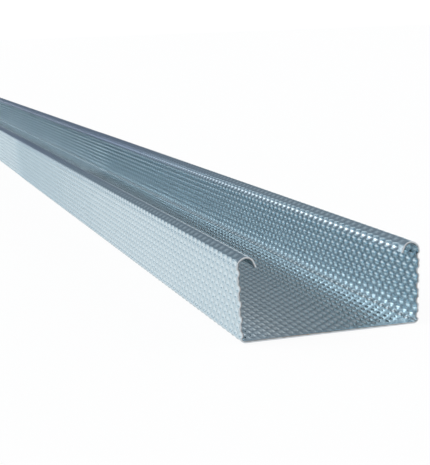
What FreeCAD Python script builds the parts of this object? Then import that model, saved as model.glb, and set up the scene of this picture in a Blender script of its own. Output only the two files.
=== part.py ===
"""Ceiling channel: one strip of galvanised sheet, roll formed into a C section.

A flat web lies at the bottom and carries two upright flanges. Each flange ends in a lip that curls
inwards and down, which is what a hanger or a clip hooks under. The channel is one piece, so it is one
solid: the bent strip's section, drawn at its real size and extruded along the length.

Frame: X along the channel, Y across it, Z up. The origin is at the middle of the web's outer face.
"""

import FreeCAD
import Part

import math
import os

# Driving dimensions, in millimetres and degrees
LENGTH = 3000.0  # stock length
WEB_WIDTH = 60.0  # over the flanges, where their outer faces meet the plane of the web
HEIGHT = 27.0  # from the web's outer face to the top of the curled lips
SHEET = 0.6  # thickness of the strip
BEND_RADIUS = 0.9  # inside radius of the bends between web and flanges
FLANGE_LEAN = 1.5  # how far each flange springs outwards from square
CURL_RADIUS = 2.9  # outside radius of the curled lips
CURL_TURN = 160.0  # how far a lip curls round from the direction of its flange
LIP_RUN = 1.7  # straight run at the end of a curled lip

# Worked out from them: the outside of the bend between web and flange, and the straight runs beside it
CORNER_RADIUS = BEND_RADIUS + SHEET
CORNER_TURN = 90.0 - FLANGE_LEAN
CORNER_REACH = CORNER_RADIUS * math.tan(math.radians(CORNER_TURN) / 2)
WEB_HALF = WEB_WIDTH / 2 - CORNER_REACH
CURL_START = HEIGHT - CURL_RADIUS * (1 + math.sin(math.radians(FLANGE_LEAN)))
FLANGE_RUN = CURL_START / math.cos(math.radians(FLANGE_LEAN)) - CORNER_REACH

PARTS_FOLDER = "parts"
NODE = "ceiling_channel"


class SectionPen:
    """Follows the strip round one side of the section and draws its outer and inner edges.

    The pen stands on the outer face. The inner face is one sheet thickness to its left, which is
    the inside of every bend.
    """

    def __init__(self, y, z):
        self.y = y
        self.z = z
        self.heading = 0.0
        self.outer = []
        self.inner = []

    def offset(self, distance):
        """The point at a distance to the left of the pen, square to the strip."""
        y = self.y - distance * math.sin(self.heading)
        z = self.z + distance * math.cos(self.heading)
        return FreeCAD.Vector(0, y, z)

    def run(self, length):
        """Draws a straight run of the strip."""
        outer_start, inner_start = self.offset(0), self.offset(SHEET)
        self.y += length * math.cos(self.heading)
        self.z += length * math.sin(self.heading)
        self.outer.append(Part.LineSegment(outer_start, self.offset(0)).toShape())
        self.inner.append(Part.LineSegment(inner_start, self.offset(SHEET)).toShape())

    def bend(self, radius, turn):
        """Draws a bend to the left, with its outside radius and its angle in degrees."""
        centre = self.offset(radius)
        outer_points, inner_points = [], []
        start = self.heading
        for share in (0.0, 0.5, 1.0):
            self.heading = start + math.radians(turn) * share
            self.y = centre.y + radius * math.sin(self.heading)
            self.z = centre.z - radius * math.cos(self.heading)
            outer_points.append(self.offset(0))
            inner_points.append(self.offset(SHEET))
        self.outer.append(Part.Arc(*outer_points).toShape())
        self.inner.append(Part.Arc(*inner_points).toShape())

    def cut(self):
        """The strip's edge face where the pen stands, as a line from outer to inner face."""
        return Part.LineSegment(self.offset(0), self.offset(SHEET)).toShape()


def side_edges():
    """The section's edges on the +Y side, from the end of the flat web to the tip of the lip."""
    pen = SectionPen(WEB_HALF, 0.0)
    pen.bend(CORNER_RADIUS, CORNER_TURN)
    pen.run(FLANGE_RUN)
    pen.bend(CURL_RADIUS, CURL_TURN)
    pen.run(LIP_RUN)
    return pen.outer + pen.inner + [pen.cut()]


def channel_section():
    """The closed section of the bent strip, as a face in the plane X = 0."""
    right = side_edges()
    middle, across = FreeCAD.Vector(0, 0, 0), FreeCAD.Vector(0, 1, 0)
    left = [edge.mirror(middle, across) for edge in right]
    web = [
        Part.LineSegment(FreeCAD.Vector(0, -WEB_HALF, z), FreeCAD.Vector(0, WEB_HALF, z)).toShape()
        for z in (0.0, SHEET)
    ]
    outline = Part.Wire(Part.__sortEdges__(right + left + web))
    return Part.Face(outline)


def ceiling_channel():
    """The whole channel, with its length centred on the origin."""
    section = channel_section()
    section.translate(FreeCAD.Vector(-LENGTH / 2, 0, 0))
    return section.extrude(FreeCAD.Vector(LENGTH, 0, 0))


os.makedirs(PARTS_FOLDER, exist_ok=True)
channel = ceiling_channel()
channel.exportStep(os.path.join(PARTS_FOLDER, NODE + ".step"))
print(NODE, "valid", channel.isValid(), "solids", len(channel.Solids), "faces", len(channel.Faces))
print("size", channel.BoundBox.XLength, channel.BoundBox.YLength, channel.BoundBox.ZLength)
print("volume mm3", channel.Volume, "section mm2", channel.Volume / LENGTH)
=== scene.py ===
# %% [markdown]
# # A ceiling channel in galvanised steel
# A ceiling channel is one strip of thin galvanised sheet. A pair of rollers first presses a close
# pattern of bumps into the flat strip, which makes it stiffer. More rollers then bend it into a C: a
# flat web, two upright flanges, and two lips that curl inwards so that a hanger can hook under them.
# This lesson makes the channel in the same order: a flat strip, its relief, its bends.
#
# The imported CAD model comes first. It fixes the size and the place of everything that follows.

# %% Load the frame
import math

import bpy
from mathutils import Matrix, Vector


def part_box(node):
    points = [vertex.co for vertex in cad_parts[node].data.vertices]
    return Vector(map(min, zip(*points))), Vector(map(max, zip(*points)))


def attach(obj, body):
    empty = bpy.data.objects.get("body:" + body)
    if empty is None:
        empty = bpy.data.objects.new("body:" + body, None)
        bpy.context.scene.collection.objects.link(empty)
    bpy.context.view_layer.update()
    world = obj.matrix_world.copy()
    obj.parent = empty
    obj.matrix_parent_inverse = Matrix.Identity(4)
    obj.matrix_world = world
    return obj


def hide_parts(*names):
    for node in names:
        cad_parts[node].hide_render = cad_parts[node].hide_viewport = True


NODE = "ceiling_channel"
MM = 0.001

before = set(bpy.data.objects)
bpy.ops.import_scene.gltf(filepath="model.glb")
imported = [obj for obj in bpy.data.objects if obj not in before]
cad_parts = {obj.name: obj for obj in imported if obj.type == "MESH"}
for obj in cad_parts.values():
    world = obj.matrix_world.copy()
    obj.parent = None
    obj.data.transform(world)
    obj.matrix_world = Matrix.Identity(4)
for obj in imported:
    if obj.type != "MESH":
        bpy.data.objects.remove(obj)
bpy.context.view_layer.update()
lowest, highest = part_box(NODE)
length = highest.x - lowest.x
height = highest.z - lowest.z
near_end = highest.x
print(f"channel: {length:.3f} m long, {height / MM:.1f} mm high")

# %% [markdown]
# ## The section
# Sheet metal people describe a section by its middle line: straight runs, and bends with a radius and
# an angle. The strip keeps its length along that line when it is bent, so the line also says how wide
# the flat strip is. The section is symmetric, so one half is enough: half the web, the corner, the
# flange, the curl and the short run at the end of the lip.

# %% Sizes of the section
WEB_WIDTH = 60.0 * MM
SHEET = 0.6 * MM
BEND_RADIUS = 0.9 * MM
FLANGE_LEAN = math.radians(1.5)
CURL_RADIUS = 2.9 * MM
CURL_TURN = math.radians(160.0)
LIP_RUN = 1.7 * MM
RIGHT_ANGLE = math.radians(90.0)

corner_outside = BEND_RADIUS + SHEET
corner_turn = RIGHT_ANGLE - FLANGE_LEAN
corner_reach = corner_outside * math.tan(corner_turn / 2)
curl_start = height - CURL_RADIUS * (1 + math.sin(FLANGE_LEAN))

web_half = WEB_WIDTH / 2 - corner_reach
corner_radius = corner_outside - SHEET / 2
flange_run = curl_start / math.cos(FLANGE_LEAN) - corner_reach
curl_radius = CURL_RADIUS - SHEET / 2
print(f"straight runs: web {2 * web_half / MM:.1f} mm, flanges {flange_run / MM:.1f} mm")

# %% The flat strip's lengths
flat_lengths = {
    "Web": web_half,
    "Corner": corner_radius * corner_turn,
    "Flange": flange_run,
    "Curl": curl_radius * CURL_TURN,
    "Lip": LIP_RUN,
}
corner_end = flat_lengths["Web"] + flat_lengths["Corner"]
curl_begin = corner_end + flat_lengths["Flange"]
lip_begin = curl_begin + flat_lengths["Curl"]
flat_width = 2 * sum(flat_lengths.values())
print(f"flat strip: {flat_width / MM:.1f} mm wide")

# %% [markdown]
# ## Helpers for node trees
# Both the strip and its finish are node trees that the script builds. A few short helpers keep that
# readable. A value that is a socket is linked, and any other value is typed into the socket. The first
# helpers add nodes, and the others are small sums made of nodes.

# %% Helpers that add nodes
def feed(tree, socket, value):
    if isinstance(value, bpy.types.NodeSocket):
        tree.links.new(value, socket)
    else:
        socket.default_value = value


def add_node(tree, kind, inputs=None, **settings):
    node = tree.nodes.new(kind)
    for name, value in settings.items():
        setattr(node, name, value)
    for name, value in (inputs or {}).items():
        feed(tree, node.inputs[name], value)
    return node


def maths(tree, operation, *values):
    node = add_node(tree, "ShaderNodeMath", operation=operation)
    for socket, value in zip(node.inputs, values):
        feed(tree, socket, value)
    return node.outputs[0]


def vector_maths(tree, operation, first, second):
    node = add_node(tree, "ShaderNodeVectorMath", operation=operation)
    feed(tree, node.inputs[0], first)
    feed(tree, node.inputs["Scale"] if operation == "SCALE" else node.inputs[1], second)
    return node.outputs["Value" if operation == "DOT_PRODUCT" else "Vector"]


# %% Helpers for sums
def product(tree, first, *others):
    for other in others:
        first = maths(tree, "MULTIPLY", first, other)
    return first


def weighted_sum(tree, total, *terms):
    for value, weight in terms:
        total = maths(tree, "MULTIPLY_ADD", value, weight, total)
    return total


def rest_of_one(tree, value):
    return maths(tree, "SUBTRACT", 1.0, value)


def clamped(tree, value, most=1.0):
    return add_node(tree, "ShaderNodeClamp", {"Value": value, "Max": most}).outputs[0]


def ramp(tree, value, start, end, first=0.0, last=1.0):
    return add_node(
        tree,
        "ShaderNodeMapRange",
        {"Value": value, "From Min": start, "From Max": end, "To Min": first, "To Max": last},
        interpolation_type="SMOOTHSTEP",
    ).outputs[0]


# %% [markdown]
# ## The strip as a Geometry Nodes tree
# The channel could be an extruded outline, but then the relief would have to be wrapped round it
# afterwards. Here the tree starts from the flat strip, which is a Cube node cut into many small quads:
# X runs along the strip, Y counts rows across it, and Z is the two faces of the sheet. Every vertex
# then walks along the middle line and ends up on the bent strip. The rows come in four zones, so that
# the web and the flange have rows in step with the relief, and the bends have finer ones.

# %% Inputs of the strip tree
ROW_ZONES = ("Web", "Corner", "Flange", "Lip")
SEGMENTS = {"Web": "run", "Corner": "bend", "Flange": "run", "Curl": "bend", "Lip": "run"}

strip_tree = bpy.data.node_groups.new("embossed strip", "GeometryNodeTree")
strip_tree.is_modifier = True
strip_sockets = {}


def strip_input(name, kind="NodeSocketFloat"):
    strip_sockets[name] = strip_tree.interface.new_socket(name, in_out="INPUT", socket_type=kind)


for name in ("Near End", "Middle", "Stretch", "Sheet", "Strip Width", "Relief"):
    strip_input(name)
strip_input("Columns", "NodeSocketInt")
for zone in ROW_ZONES:
    strip_input(f"{zone} Rows", "NodeSocketInt")
    strip_input(f"{zone} Zone")
for segment, kind in SEGMENTS.items():
    strip_input(f"{segment} Length")
    if kind == "bend":
        strip_input(f"{segment} Radius")
strip_input("Finish", "NodeSocketMaterial")
strip_tree.interface.new_socket("Strip", in_out="OUTPUT", socket_type="NodeSocketGeometry")
strip_in = strip_tree.nodes.new("NodeGroupInput").outputs
print(f"strip tree: {len(strip_sockets)} inputs")

# %% The flat strip
rows_total = 0
for zone in ROW_ZONES:
    rows_total = maths(strip_tree, "ADD", strip_in[f"{zone} Rows"], rows_total)
rows_across = maths(strip_tree, "MULTIPLY", rows_total, 2.0)
flat_size = add_node(
    strip_tree,
    "ShaderNodeCombineXYZ",
    {"X": strip_in["Stretch"], "Y": rows_across, "Z": strip_in["Sheet"]},
)
flat_strip = add_node(
    strip_tree,
    "GeometryNodeMeshCube",
    {
        "Size": flat_size.outputs[0],
        "Vertices X": maths(strip_tree, "ADD", strip_in["Columns"], 1.0),
        "Vertices Y": maths(strip_tree, "ADD", rows_across, 1.0),
        "Vertices Z": 2,
    },
)
flat_position = strip_tree.nodes.new("GeometryNodeInputPosition").outputs[0]
flat_place = add_node(strip_tree, "ShaderNodeSeparateXYZ", {"Vector": flat_position}).outputs
x_here = maths(strip_tree, "ADD", flat_place["X"], strip_in["Middle"])
row_here = maths(strip_tree, "ABSOLUTE", flat_place["Y"])
side = maths(strip_tree, "SIGN", flat_place["Y"])
depth = flat_place["Z"]
print(f"flat strip: {len(strip_tree.nodes)} nodes")

# %% From rows to distances across the flat strip
flat_distance = 0.0
rows_before = 0.0
for zone in ROW_ZONES:
    rows = strip_in[f"{zone} Rows"]
    rows_into_zone = maths(strip_tree, "SUBTRACT", row_here, rows_before)
    share = clamped(strip_tree, maths(strip_tree, "DIVIDE", rows_into_zone, rows))
    flat_distance = maths(strip_tree, "MULTIPLY_ADD", share, strip_in[f"{zone} Zone"], flat_distance)
    rows_before = maths(strip_tree, "ADD", rows, rows_before)
print(f"rows: {len(ROW_ZONES)} zones on each side, {len(strip_tree.nodes)} nodes so far")

# %% [markdown]
# The walk along the middle line works like a pen. In a run the pen goes straight on. In a bend it goes
# round an arc, forward by the sine of the turn and to the left by one minus its cosine. The pen's
# heading at the start of a segment is the sum of the bends before it.

# %% The walk along the section
def turned(vector, angle):
    return add_node(
        strip_tree,
        "ShaderNodeVectorRotate",
        {"Vector": vector, "Angle": angle},
        rotation_type="X_AXIS",
    ).outputs[0]


walked = (0.0, 0.0, 0.0)
turned_here = 0.0
heading = 0.0
segment_start = 0.0
for segment, kind in SEGMENTS.items():
    segment_length = strip_in[f"{segment} Length"]
    into_segment = maths(strip_tree, "SUBTRACT", flat_distance, segment_start)
    inside = clamped(strip_tree, into_segment, segment_length)
    forward, leftward = inside, 0.0
    if kind == "bend":
        radius = strip_in[f"{segment} Radius"]
        turn = maths(strip_tree, "DIVIDE", inside, radius)
        forward = maths(strip_tree, "MULTIPLY", radius, maths(strip_tree, "SINE", turn))
        rise = rest_of_one(strip_tree, maths(strip_tree, "COSINE", turn))
        leftward = maths(strip_tree, "MULTIPLY", radius, rise)
        turned_here = maths(strip_tree, "ADD", turn, turned_here)
    step = add_node(strip_tree, "ShaderNodeCombineXYZ", {"Y": forward, "Z": leftward}).outputs[0]
    walked = vector_maths(strip_tree, "ADD", turned(step, heading), walked)
    if kind == "bend":
        whole_turn = maths(strip_tree, "DIVIDE", segment_length, radius)
        heading = maths(strip_tree, "ADD", whole_turn, heading)
    segment_start = maths(strip_tree, "ADD", segment_length, segment_start)
print(f"walk: {len(strip_tree.nodes)} nodes so far")

# %% [markdown]
# ## The relief
# The bumps stand in rows half a pitch apart, and each row is shifted by half a pitch against the next.
# Cosines give that. The product of two is an egg tray of bumps and hollows, and a third one, with half
# the pitch across the strip, draws them together into rows. A smooth ramp then flattens tops and
# bottoms, which leaves long bumps with short gaps. The pattern depends on the distances along and
# across the flat strip alone, so on the finished channel the rows run on round the bends.

# %% The pattern
PITCHES_ALONG = 630
ACROSS_STRETCH = 1.02
RELIEF = 0.27 * MM
ROW_SHARE = 0.8
BUMP_TOP = -1.1
GAP_BOTTOM = 0.8

pitch = length / PITCHES_ALONG
pitch_across = pitch * ACROSS_STRETCH
print(f"relief: {RELIEF / MM:.2f} mm up and down, {pitch / MM:.3f} mm pitch")


def wave(tree, distance, wavelength):
    turn = maths(tree, "MULTIPLY", distance, 2 * math.pi / wavelength)
    return maths(tree, "COSINE", turn)


def pattern(tree, along, across):
    egg_tray = maths(tree, "MULTIPLY", wave(tree, along, pitch), wave(tree, across, pitch_across))
    in_rows = weighted_sum(tree, egg_tray, (wave(tree, across, pitch_across / 2), -ROW_SHARE))
    return ramp(tree, in_rows, BUMP_TOP, GAP_BOTTOM, -1.0, 1.0)


# %% [markdown]
# Curling the lips stretches the sheet, so the bumps are a little flatter there. A mesh of all the
# relief would have several million triangles. So the relief is in the mesh at both ends of the channel,
# and the finish has a bump for the long part between them. The strip and the finish share the functions
# here, so one relief fades in where the other fades out.

# %% Where the relief is
CURL_SHARE = 0.65
NEAR_PITCHES = 106
FAR_PITCHES = 27
FADE_PITCHES = 12

far_start = PITCHES_ALONG - FAR_PITCHES
print(f"meshed relief: {NEAR_PITCHES} pitches at the near end and {FAR_PITCHES} at the far end")


def into_curl(tree, from_middle):
    return ramp(tree, from_middle, curl_begin, curl_begin + CURL_RADIUS)


def curl_share(tree, from_middle):
    out_of_curl = ramp(tree, from_middle, lip_begin - CURL_RADIUS, lip_begin)
    stretched = maths(tree, "SUBTRACT", into_curl(tree, from_middle), out_of_curl)
    return weighted_sum(tree, 1.0, (stretched, CURL_SHARE - 1.0))


def meshed_share(tree, along):
    near = ramp(tree, along, NEAR_PITCHES * pitch, (NEAR_PITCHES - FADE_PITCHES) * pitch)
    far = ramp(tree, along, far_start * pitch, (far_start + FADE_PITCHES) * pitch)
    return maths(tree, "MAXIMUM", near, far)


# %% [markdown]
# The relief pushes both faces of the sheet the same way. The shears that cut the channel to length
# press its web and lips flat at the cut, so only the flanges keep their bumps up to the very end.

# %% The relief and the bent strip
along = maths(strip_tree, "SUBTRACT", strip_in["Near End"], x_here)
across = maths(strip_tree, "MULTIPLY", side, flat_distance)
from_cut = maths(strip_tree, "MINIMUM", along, maths(strip_tree, "SUBTRACT", length, along))
off_cut = clamped(strip_tree, maths(strip_tree, "DIVIDE", from_cut, pitch))
out_of_web = ramp(strip_tree, flat_distance, flat_lengths["Web"], corner_end)
on_flange = maths(strip_tree, "SUBTRACT", out_of_web, into_curl(strip_tree, flat_distance))
outward = product(
    strip_tree,
    strip_in["Relief"],
    pattern(strip_tree, along, across),
    curl_share(strip_tree, flat_distance),
    maths(strip_tree, "MAXIMUM", off_cut, on_flange),
    meshed_share(strip_tree, along),
)
inward = turned((0.0, 0.0, 1.0), turned_here)
push = vector_maths(strip_tree, "SCALE", inward, maths(strip_tree, "SUBTRACT", depth, outward))
pushed = vector_maths(strip_tree, "ADD", walked, push)
half_place = add_node(strip_tree, "ShaderNodeSeparateXYZ", {"Vector": pushed}).outputs
bent_place = add_node(
    strip_tree,
    "ShaderNodeCombineXYZ",
    {
        "X": x_here,
        "Y": maths(strip_tree, "MULTIPLY", half_place["Y"], side),
        "Z": maths(strip_tree, "MULTIPLY_ADD", strip_in["Sheet"], 0.5, half_place["Z"]),
    },
)
print(f"bent strip: {len(strip_tree.nodes)} nodes so far")

# %% [markdown]
# Two attributes go with the strip for its finish: where each point was on the flat strip, because the
# marks of the rollers run along it, and which faces are cut edges, where the zinc is missing. The flat
# strip's own normals tell the edges from the two broad faces, so that is noted before the bending.

# %% Attributes of the strip
BROAD_FACE_LIMIT = 0.5

flat_normal = add_node(
    strip_tree,
    "GeometryNodeFieldOnDomain",
    {"Value": strip_tree.nodes.new("GeometryNodeInputNormal").outputs[0]},
    data_type="FLOAT_VECTOR",
    domain="FACE",
)
facing = add_node(strip_tree, "ShaderNodeSeparateXYZ", {"Vector": flat_normal.outputs[0]}).outputs
broadness = maths(strip_tree, "ABSOLUTE", facing["Z"])
is_edge = maths(strip_tree, "LESS_THAN", broadness, BROAD_FACE_LIMIT)
on_strip = add_node(strip_tree, "ShaderNodeCombineXYZ", {"X": along, "Y": across, "Z": depth})


def note(geometry, name, value, data_type, domain):
    return add_node(
        strip_tree,
        "GeometryNodeStoreNamedAttribute",
        {"Geometry": geometry, "Name": name, "Value": value},
        data_type=data_type,
        domain=domain,
    ).outputs[0]


noted = note(flat_strip.outputs["Mesh"], "cut_edge", is_edge, "FLOAT", "FACE")
noted = note(noted, "on_strip", on_strip.outputs[0], "FLOAT_VECTOR", "POINT")
print("attributes: cut_edge and on_strip")

# %% [markdown]
# A map for baking goes with it too, because an automatic unwrap would tear so many bumps into scraps.
# Unrolled, the strip is a rectangle, so its inner face fills the lower half of the map and its outer
# face the upper half. The long cut edges lie between the two, and the two ends lie at the sides.

# %% Map for baking
MAP_MIDDLE = 0.5
FACE_PLACE = 0.25
FACE_HALF = 0.23
EDGE_PLACE = 0.012
EDGE_HALF = 0.004
END_PLACE = 0.49
LENGTH_SHARE = 0.95

half_width = maths(strip_tree, "MULTIPLY", strip_in["Strip Width"], 0.5)
half_sheet = maths(strip_tree, "MULTIPLY", strip_in["Sheet"], 0.5)
along_share = maths(strip_tree, "DIVIDE", flat_place["X"], strip_in["Stretch"])
across_share = maths(strip_tree, "DIVIDE", across, half_width)
depth_share = maths(strip_tree, "DIVIDE", depth, half_sheet)
edge_offset = maths(strip_tree, "MULTIPLY", depth_share, EDGE_HALF)
face_middle = maths(strip_tree, "MULTIPLY", facing["Z"], -FACE_PLACE)
long_edge_place = maths(strip_tree, "MULTIPLY_ADD", facing["Y"], EDGE_PLACE, edge_offset)
end_place = maths(strip_tree, "MULTIPLY_ADD", facing["X"], END_PLACE, edge_offset)
is_long_edge = maths(strip_tree, "ABSOLUTE", facing["Y"])
is_end = maths(strip_tree, "ABSOLUTE", facing["X"])


def choose(condition, chosen, other):
    choice = {0: condition, 2: other, 3: chosen}
    return add_node(strip_tree, "ShaderNodeMix", choice, data_type="FLOAT").outputs[0]


map_x = choose(is_end, end_place, maths(strip_tree, "MULTIPLY", along_share, LENGTH_SHARE))
on_face = maths(strip_tree, "MULTIPLY_ADD", across_share, FACE_HALF, face_middle)
on_end = maths(strip_tree, "MULTIPLY", across_share, FACE_HALF)
map_y = choose(is_long_edge, long_edge_place, choose(is_end, on_end, on_face))
map_place = add_node(
    strip_tree,
    "ShaderNodeCombineXYZ",
    {
        "X": maths(strip_tree, "ADD", map_x, MAP_MIDDLE),
        "Y": maths(strip_tree, "ADD", map_y, MAP_MIDDLE),
    },
)
noted = note(noted, "OFBake", map_place.outputs[0], "FLOAT2", "CORNER")
print("map for baking: OFBake")

# %% [markdown]
# The bending is one Set Position node. Broad faces are shaded smooth and the cut edges stay crisp. The
# tree ends, as every tree that is turned into a mesh should, in Realize Instances and Set Material.

# %% Bending and the end of the strip tree
SHARP_ANGLE = math.radians(60.0)

bent = add_node(
    strip_tree,
    "GeometryNodeSetPosition",
    {"Geometry": noted, "Position": bent_place.outputs[0]},
)
smoothed = add_node(
    strip_tree,
    "GeometryNodeSetShadeSmooth",
    {"Geometry": bent.outputs[0], "Shade Smooth": True},
    domain="FACE",
)
edge_angle = strip_tree.nodes.new("GeometryNodeInputMeshEdgeAngle").outputs["Unsigned Angle"]
sharp = maths(strip_tree, "GREATER_THAN", edge_angle, SHARP_ANGLE)
creased = add_node(
    strip_tree,
    "GeometryNodeSetShadeSmooth",
    {"Geometry": smoothed.outputs[0], "Selection": sharp, "Shade Smooth": False},
    domain="EDGE",
)
realized = add_node(strip_tree, "GeometryNodeRealizeInstances", {"Geometry": creased.outputs[0]})
finished = add_node(
    strip_tree,
    "GeometryNodeSetMaterial",
    {"Geometry": realized.outputs[0], "Material": strip_in["Finish"]},
)
strip_out = strip_tree.nodes.new("NodeGroupOutput")
strip_tree.links.new(finished.outputs[0], strip_out.inputs["Strip"])
print(f"strip tree: {len(strip_tree.nodes)} nodes")

# %% [markdown]
# ## The zinc finish
# Galvanised sheet is steel under a thin coat of zinc, a satin metal with a cool grey colour. The finish
# reads the two attributes and works out where each point is: how far from the nearer cut and from the
# middle of the web, on the inside or the outside, in a curl or not. Three noises go with that: streaks
# from rolling that run along the strip, soft clouds, and fine grains for the torn edges.

# %% Places and noises of the finish
STREAK_SCALE = (9.0, 420.0, 0.0)
STREAK_DETAIL = 3.0
CLOUD_SCALE = 38.0
CLOUD_DETAIL = 4.0
GRAIN_SCALE = 420.0
GRAIN_DETAIL = 2.0
INSIDE_DEPTH = SHEET / 4

zinc = bpy.data.materials.new("zinc_finish")
zinc.use_nodes = True
coat = zinc.node_tree
strip_point = add_node(coat, "ShaderNodeAttribute", attribute_name="on_strip").outputs["Vector"]
cut_edge = add_node(coat, "ShaderNodeAttribute", attribute_name="cut_edge").outputs["Fac"]
place = add_node(coat, "ShaderNodeSeparateXYZ", {"Vector": strip_point}).outputs
from_end = maths(coat, "MINIMUM", place["X"], maths(coat, "SUBTRACT", length, place["X"]))
from_middle = maths(coat, "ABSOLUTE", place["Y"])
on_inside = ramp(coat, place["Z"], 0.0, INSIDE_DEPTH)
in_curl = into_curl(coat, from_middle)


def noise(point, scale, detail):
    settings = {"Vector": point, "Scale": scale, "Detail": detail}
    return add_node(coat, "ShaderNodeTexNoise", settings).outputs[0]


streak_point = add_node(coat, "ShaderNodeMapping", {"Vector": strip_point, "Scale": STREAK_SCALE})
streaks = noise(streak_point.outputs[0], 1.0, STREAK_DETAIL)
clouds = noise(strip_point, CLOUD_SCALE, CLOUD_DETAIL)
grains = noise(strip_point, GRAIN_SCALE, GRAIN_DETAIL)
print(f"places and noises: {len(coat.nodes)} nodes")

# %% [markdown]
# One number then says how dull the coat is at each point, and it carries painted light too. Streaks
# and clouds make it uneven. Raised parts are rubbed bright and also painted lighter, as a painted
# highlight, and the gaps between them stay dull and are painted darker, as painted shade. Both are
# strongest near the ends, which hands have burnished. The middle of the channel is duller, and the
# rollers that made the bends have left a shinier band beside them on the inside, which is also painted
# lighter, as a painted highlight of the light that the corner mirrors back.

# %% Dullness of the coat, with painted highlights and shade
BRIGHT_TO = 0.08
DULL_FROM = 0.45
MIDDLE_CONTRAST = 0.4
RAISED_FROM = 0.7
GAP_FROM = -0.9
BAND_INSET = 6 * MM
BAND_HALF = 14 * MM
STREAK_DULLNESS = 0.12
CLOUD_DULLNESS = 0.18
GAP_SHADE_AND_DULLNESS = 0.45
MIDDLE_DULLNESS = 0.33
BAND_SHINE_AND_HIGHLIGHT = 0.7

handled = ramp(coat, from_end, DULL_FROM, BRIGHT_TO)
unhandled = rest_of_one(coat, handled)
pressed = pattern(coat, place["X"], place["Y"])
contrast = weighted_sum(coat, -MIDDLE_CONTRAST, (handled, MIDDLE_CONTRAST - 1.0))
# Painted highlight and shade: raised parts of the relief lighter, the gaps between them darker.
gap_painted_shade = ramp(coat, maths(coat, "MULTIPLY", pressed, contrast), RAISED_FROM, GAP_FROM)
# Painted highlight: a lighter, shinier band on the inside beside each corner.
from_band = maths(coat, "SUBTRACT", from_middle, flat_lengths["Web"] - BAND_INSET)
near_band = ramp(coat, maths(coat, "ABSOLUTE", from_band), BAND_HALF, 0.0)
painted_corner_highlight = maths(coat, "MULTIPLY", near_band, on_inside)
dullness_and_painted_light = weighted_sum(
    coat,
    0.0,
    (streaks, STREAK_DULLNESS),
    (clouds, CLOUD_DULLNESS),
    (gap_painted_shade, GAP_SHADE_AND_DULLNESS),
    (unhandled, MIDDLE_DULLNESS),
    (painted_corner_highlight, -BAND_SHINE_AND_HIGHLIGHT),
)
print(f"dullness: {len(coat.nodes)} nodes so far")

# %% [markdown]
# The dullness mixes the two colours of the coat. The curls are painted a dark blue, as a painted dark
# reflection, most of all away from the ends. Their insides are painted darker, as painted shade, and
# the inside of the web is painted a warmer grey along its middle, a painted reflection of warmer light.
# Where the strip was cut, the bare steel shows. Shears first slice the sheet and then tear the rest, so
# one half of an edge is smooth and pale, and the other half is dark and ragged, with traces of rust.

# %% Colours of the coat and of the cut edges
ZINC_BRIGHT = (0.69, 0.80, 0.85, 1.0)
ZINC_DULL = (0.34, 0.49, 0.57, 1.0)
# Painted reflection: the dark blue of the curls.
CURL_PAINTED_DARK = (0.20, 0.26, 0.37, 1.0)
# Painted shade: the dark inside of the curls.
CURL_INSIDE_SHADE = (0.17, 0.17, 0.16, 1.0)
# Painted reflection: the warmer grey of the web's inside.
WEB_PAINTED_WARMTH = (0.54, 0.52, 0.48, 1.0)
SHEARED_EDGE = (0.60, 0.64, 0.67, 1.0)
TORN_EDGE = (0.24, 0.24, 0.24, 1.0)
RUST_TINT = (0.27, 0.21, 0.17, 1.0)
CURL_DARK_AT_ENDS = 0.1
CURL_DARK_MORE = 0.8
CURL_INSIDE_SHARE = 0.7
WEB_WARMTH_SHARE = 0.35
RUST_FROM = 0.5
RUST_FULL = 0.65
MEAN_NOISE = 0.5
TEAR_SOFTNESS = SHEET / 3


def mix_colour(factor, first, second):
    node = add_node(coat, "ShaderNodeMix", data_type="RGBA")
    sockets = {socket.identifier: socket for socket in node.inputs}
    feed(coat, sockets["Factor_Float"], factor)
    feed(coat, sockets["A_Color"], first)
    feed(coat, sockets["B_Color"], second)
    return next(socket for socket in node.outputs if socket.identifier == "Result_Color")


# The curls get a painted dark reflection, more of it away from the ends.
curl_painted_dark_share = weighted_sum(coat, CURL_DARK_AT_ENDS, (unhandled, CURL_DARK_MORE))
on_web = ramp(coat, from_middle, flat_lengths["Web"], flat_lengths["Web"] / 2)
# Painted shade inside the curls, which are also rougher there.
shaded_curl_inside = product(coat, in_curl, on_inside, CURL_INSIDE_SHARE)
coat_colour = mix_colour(dullness_and_painted_light, ZINC_BRIGHT, ZINC_DULL)
coat_colour = mix_colour(maths(coat, "MULTIPLY", in_curl, curl_painted_dark_share), coat_colour, CURL_PAINTED_DARK)
# Painted reflection: the inside of the web turns a warmer grey along its middle.
coat_colour = mix_colour(product(coat, on_web, on_inside, WEB_WARMTH_SHARE), coat_colour, WEB_PAINTED_WARMTH)
coat_colour = mix_colour(shaded_curl_inside, coat_colour, CURL_INSIDE_SHADE)

torn_colour = mix_colour(ramp(coat, clouds, RUST_FROM, RUST_FULL), TORN_EDGE, RUST_TINT)
raggedness = maths(coat, "SUBTRACT", grains, MEAN_NOISE)
torn_depth = weighted_sum(coat, place["Z"], (raggedness, SHEET))
torn = ramp(coat, torn_depth, 0.0, TEAR_SOFTNESS)
edge_colour = mix_colour(torn, SHEARED_EDGE, torn_colour)
print(f"colours: {len(coat.nodes)} nodes so far")

# %% [markdown]
# Dull zinc is also rougher, and so are the shaded insides of the curls and the cut edges. The bump
# lifts the same points as the mesh does. What is a bump on the outside of the sheet is a hollow on the
# inside, so its sign changes there.

# %% Roughness, bump and the shader
LEAST_ROUGHNESS = 0.15
DULL_ROUGHNESS = 0.12
MIDDLE_ROUGHNESS = 0.09
CURL_INSIDE_ROUGHNESS = 0.2
EDGE_ROUGHNESS = 0.40

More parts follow.
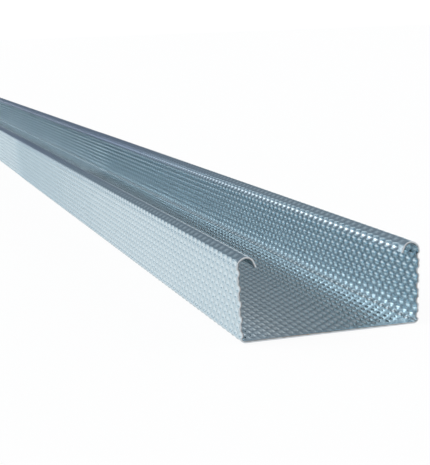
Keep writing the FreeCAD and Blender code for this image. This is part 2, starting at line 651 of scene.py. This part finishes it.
coat_roughness = weighted_sum(
    coat,
    LEAST_ROUGHNESS,
    (dullness_and_painted_light, DULL_ROUGHNESS),
    (unhandled, MIDDLE_ROUGHNESS),
    (shaded_curl_inside, CURL_INSIDE_ROUGHNESS),
)
edge_roughness = maths(coat, "MULTIPLY", cut_edge, EDGE_ROUGHNESS)
bump_height = product(
    coat,
    pressed,
    maths(coat, "MULTIPLY", maths(coat, "SIGN", place["Z"]), -RELIEF),
    curl_share(coat, from_middle),
    rest_of_one(coat, meshed_share(coat, place["X"])),
    rest_of_one(coat, cut_edge),
)
bump = add_node(coat, "ShaderNodeBump", {"Height": bump_height, "Distance": 1.0})

shader = coat.nodes["Principled BSDF"].inputs
shader["Metallic"].default_value = 1.0
feed(coat, shader["Base Color"], mix_colour(cut_edge, coat_colour, edge_colour))
feed(coat, shader["Roughness"], maths(coat, "MAXIMUM", coat_roughness, edge_roughness))
feed(coat, shader["Normal"], bump.outputs[0])
print(f"zinc finish: {len(coat.nodes)} nodes")

# %% [markdown]
# ## Stretches of the channel
# One mesh is easier to handle under 200,000 triangles, and the whole channel stays under a million. So
# the tree runs once for each of a number of stretches. They are similar in length, which gives each of
# them about as fine a map. Those at the ends carry the relief, with eight faces to a pitch, and those
# between them are plain. The columns there, and the rows on the web and the flanges, meet the relief at
# the same points of every wave, so no false pattern appears.

# %% Ends of the stretches
NEAR_STRETCHES = 4
MIDDLE_STRETCHES = 14


def equal_ends(start, end, count):
    return [start + round((end - start) * number / count) for number in range(1, count + 1)]


stretch_ends = equal_ends(0, NEAR_PITCHES, NEAR_STRETCHES)
stretch_ends += equal_ends(NEAR_PITCHES, far_start, MIDDLE_STRETCHES)
stretch_ends += [PITCHES_ALONG]
print(f"stretches: {len(stretch_ends)}")

# %% Values for the strip tree
LIP_PITCHES = 2


def row_zones(samples):
    row = pitch_across / samples
    web_rows = math.floor(flat_lengths["Web"] / row)
    flange_first = math.ceil(corner_end / row)
    flange_last = math.floor(curl_begin / row)
    return {
        "Web Rows": web_rows,
        "Web Zone": web_rows * row,
        "Corner Rows": samples,
        "Corner Zone": (flange_first - web_rows) * row,
        "Flange Rows": flange_last - flange_first,
        "Flange Zone": (flange_last - flange_first) * row,
        "Lip Rows": LIP_PITCHES * (samples + 1),
        "Lip Zone": flat_width / 2 - flange_last * row,
    }


def strip_values(start, end, samples, columns):
    values = {
        "Near End": near_end,
        "Middle": near_end - (start + end) * pitch / 2,
        "Stretch": (end - start) * pitch,
        "Columns": columns,
        "Sheet": SHEET,
        "Strip Width": flat_width,
        "Relief": RELIEF,
        "Corner Radius": corner_radius,
        "Curl Radius": curl_radius,
        "Finish": zinc,
    }
    values.update({f"{segment} Length": run for segment, run in flat_lengths.items()})
    values.update(row_zones(samples))
    return values


# %% Make the stretches
MESH_SAMPLES = 8
PLAIN_SAMPLES = 4
PLAIN_COLUMNS = 6


def mesh_from_tree(name, tree, sockets, values):
    maker = bpy.data.objects.new(name + "_maker", bpy.data.meshes.new(name + "_empty"))
    bpy.context.scene.collection.objects.link(maker)
    modifier = maker.modifiers.new("tree", "NODES")
    modifier.node_group = tree
    for socket_name, value in values.items():
        modifier[sockets[socket_name].identifier] = value
    evaluated = maker.evaluated_get(bpy.context.evaluated_depsgraph_get())
    mesh = bpy.data.meshes.new_from_object(evaluated)
    mesh.name = name
    bpy.data.objects.remove(maker)
    piece = bpy.data.objects.new(name, mesh)
    bpy.context.scene.collection.objects.link(piece)
    return piece


stretch_start = 0
triangles_made = 0
for number, stretch_end in enumerate(stretch_ends, start=1):
    samples, columns = MESH_SAMPLES, (stretch_end - stretch_start) * MESH_SAMPLES
    if NEAR_PITCHES < stretch_end <= far_start:
        samples, columns = PLAIN_SAMPLES, PLAIN_COLUMNS
    values = strip_values(stretch_start, stretch_end, samples, columns)
    stretch = mesh_from_tree(f"channel_stretch_{number}", strip_tree, strip_sockets, values)
    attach(stretch, "root")
    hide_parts(NODE)
    triangles = 2 * len(stretch.data.polygons)
    triangles_made += triangles
    print(f"{stretch.name}: to {stretch_end * pitch:.3f} m, {triangles} triangles")
    stretch_start = stretch_end
print(f"channel: {triangles_made} triangles")

# %% [markdown]
# ## The floor
# The channel lies on a wide white floor. Metal shows whatever it mirrors, so the pale outer flange of
# the channel is mostly a picture of this floor. To stay clean and white, the floor glows softly for the
# camera and for mirrored rays, and the rest of its brightness is real light, so it still takes a faint
# shadow. It lies as low as the lowest bumps.

# %% Floor
FLOOR_SIZE = 80.0
FLOOR_COLOUR = (0.9, 0.9, 0.9, 1.0)
FLOOR_GLOW_SHARE = 0.93


def white_floor():
    material = bpy.data.materials.new("white_floor")
    material.use_nodes = True
    tree = material.node_tree
    tree.nodes.remove(tree.nodes["Principled BSDF"])
    lit = add_node(tree, "ShaderNodeBsdfDiffuse", {"Color": FLOOR_COLOUR})
    glow = add_node(tree, "ShaderNodeEmission", {"Strength": 1.0})
    ray = tree.nodes.new("ShaderNodeLightPath").outputs
    seen = maths(tree, "MAXIMUM", ray["Is Camera Ray"], ray["Is Glossy Ray"])
    seen = maths(tree, "MAXIMUM", seen, ray["Is Transmission Ray"])
    share = maths(tree, "MULTIPLY", seen, FLOOR_GLOW_SHARE)
    shaders = {"Fac": share, 1: lit.outputs[0], 2: glow.outputs[0]}
    both = add_node(tree, "ShaderNodeMixShader", shaders)
    tree.links.new(both.outputs[0], tree.nodes["Material Output"].inputs["Surface"])
    return material


half = FLOOR_SIZE / 2
floor_corners = [
    (-half, -half, -RELIEF),
    (half, -half, -RELIEF),
    (half, half, -RELIEF),
    (-half, half, -RELIEF),
]
floor_mesh = bpy.data.meshes.new("floor")
floor_mesh.from_pydata(floor_corners, [], [(0, 1, 2, 3)])
floor_mesh.materials.append(white_floor())
floor = bpy.data.objects.new("floor", floor_mesh)
bpy.context.scene.collection.objects.link(floor)
print(f"floor: {FLOOR_SIZE:.0f} m wide")

# %% [markdown]
# ## The light
# A lamp close by would light one end of a long channel more than the other. So the light here is the
# world itself: soft round patches in a dim, cool room. The brightest is a window on the left. A weaker
# one on the right and two low ones at the back draw the highlights on the bumps, and the ceiling and
# the camera's side are softly lit. Each patch has an azimuth, an elevation and a spread in degrees, and
# a brightness. Just above the floor the world is white, so the floor has no visible end.

# %% Patches of light
LEFT_WINDOW = (246, 34, 13, 5.4)
RIGHT_WINDOW = (75, 28, 16, 2.0)
BACK_WINDOW = (124, 11, 14, 3.2)
BACK_LEFT = (210, 12, 6, 1.0)
CEILING = (230, 70, 28, 0.6)
CAMERA_SIDE = (335, 25, 30, 0.5)

patches = (LEFT_WINDOW, RIGHT_WINDOW, BACK_WINDOW, BACK_LEFT, CEILING, CAMERA_SIDE)
world = bpy.data.worlds.new("studio")
bpy.context.scene.world = world
world.use_nodes = True
sky = world.node_tree
direction = sky.nodes.new("ShaderNodeTexCoord").outputs["Generated"]


def soft_patch(azimuth, elevation, spread, brightness):
    level = math.cos(math.radians(elevation))
    centre = (
        level * math.cos(math.radians(azimuth)),
        level * math.sin(math.radians(azimuth)),
        math.sin(math.radians(elevation)),
    )
    nearness = vector_maths(sky, "DOT_PRODUCT", direction, centre)
    off_centre = maths(sky, "SUBTRACT", nearness, 1.0)
    fade = maths(sky, "DIVIDE", off_centre, math.radians(spread) ** 2)
    return maths(sky, "MULTIPLY", maths(sky, "EXPONENT", fade), brightness)


light = 0.0
for patch in patches:
    light = maths(sky, "ADD", soft_patch(*patch), light)
print(f"light: {len(patches)} soft patches")

# %% World
HORIZON_TOP = math.sin(math.radians(2.0))
HORIZON_FADE = math.sin(math.radians(3.0))
WHITE = (1.0, 1.0, 1.0, 1.0)
ROOM_COLOUR = (0.63, 0.82, 1.0, 1.0)
ROOM_LEVEL = 0.20

up = add_node(sky, "ShaderNodeSeparateXYZ", {"Vector": direction}).outputs["Z"]
horizon = add_node(
    sky,
    "ShaderNodeMapRange",
    {"Value": up, "From Min": HORIZON_TOP, "From Max": HORIZON_FADE, "To Min": 1.0, "To Max": 0.0},
)
bright = sky.nodes["Background"]
bright.inputs["Color"].default_value = WHITE
feed(sky, bright.inputs["Strength"], maths(sky, "MAXIMUM", light, horizon.outputs[0]))
room = add_node(sky, "ShaderNodeBackground", {"Color": ROOM_COLOUR, "Strength": ROOM_LEVEL})
whole = add_node(sky, "ShaderNodeAddShader", {0: bright.outputs[0], 1: room.outputs[0]})
sky.links.new(whole.outputs[0], sky.nodes["World Output"].inputs["Surface"])
print(f"world: {len(sky.nodes)} nodes")

# %% [markdown]
# ## The camera
# The camera stands where the photo was taken. Its place, its turn and its focal length were fitted to
# the corners and edges of the channel in the photo.

# %% Camera
FOCAL_PIXELS = 1175.0
FRAME_LONG_SIDE = 465.0
SENSOR = 36.0
CLIP_START = 0.01
CLIP_END = 200.0
CAMERA_BEYOND_END = 332.7 * MM
CAMERA_ACROSS = -139.4 * MM
CAMERA_UP = 95.6 * MM
CAMERA_YAW = math.radians(72.93)
CAMERA_PITCH = math.radians(-9.82)
CAMERA_ROLL = math.radians(-2.05)

lens = bpy.data.cameras.new("photo_camera")
lens.sensor_width = SENSOR
lens.lens = FOCAL_PIXELS * SENSOR / FRAME_LONG_SIDE
lens.clip_start = CLIP_START
lens.clip_end = CLIP_END
camera = bpy.data.objects.new("photo_camera", lens)
bpy.context.scene.collection.objects.link(camera)
yaw = Matrix.Rotation(CAMERA_YAW, 4, "Z")
tilt = Matrix.Rotation(RIGHT_ANGLE + CAMERA_PITCH, 4, "X")
roll = Matrix.Rotation(CAMERA_ROLL, 4, "Z")
stand = Matrix.Translation((near_end + CAMERA_BEYOND_END, CAMERA_ACROSS, CAMERA_UP))
camera.matrix_world = stand @ yaw @ tilt @ roll
bpy.context.scene.camera = camera
bpy.context.scene.view_settings.view_transform = "Standard"
print(f"camera: {lens.lens:.1f} mm lens")
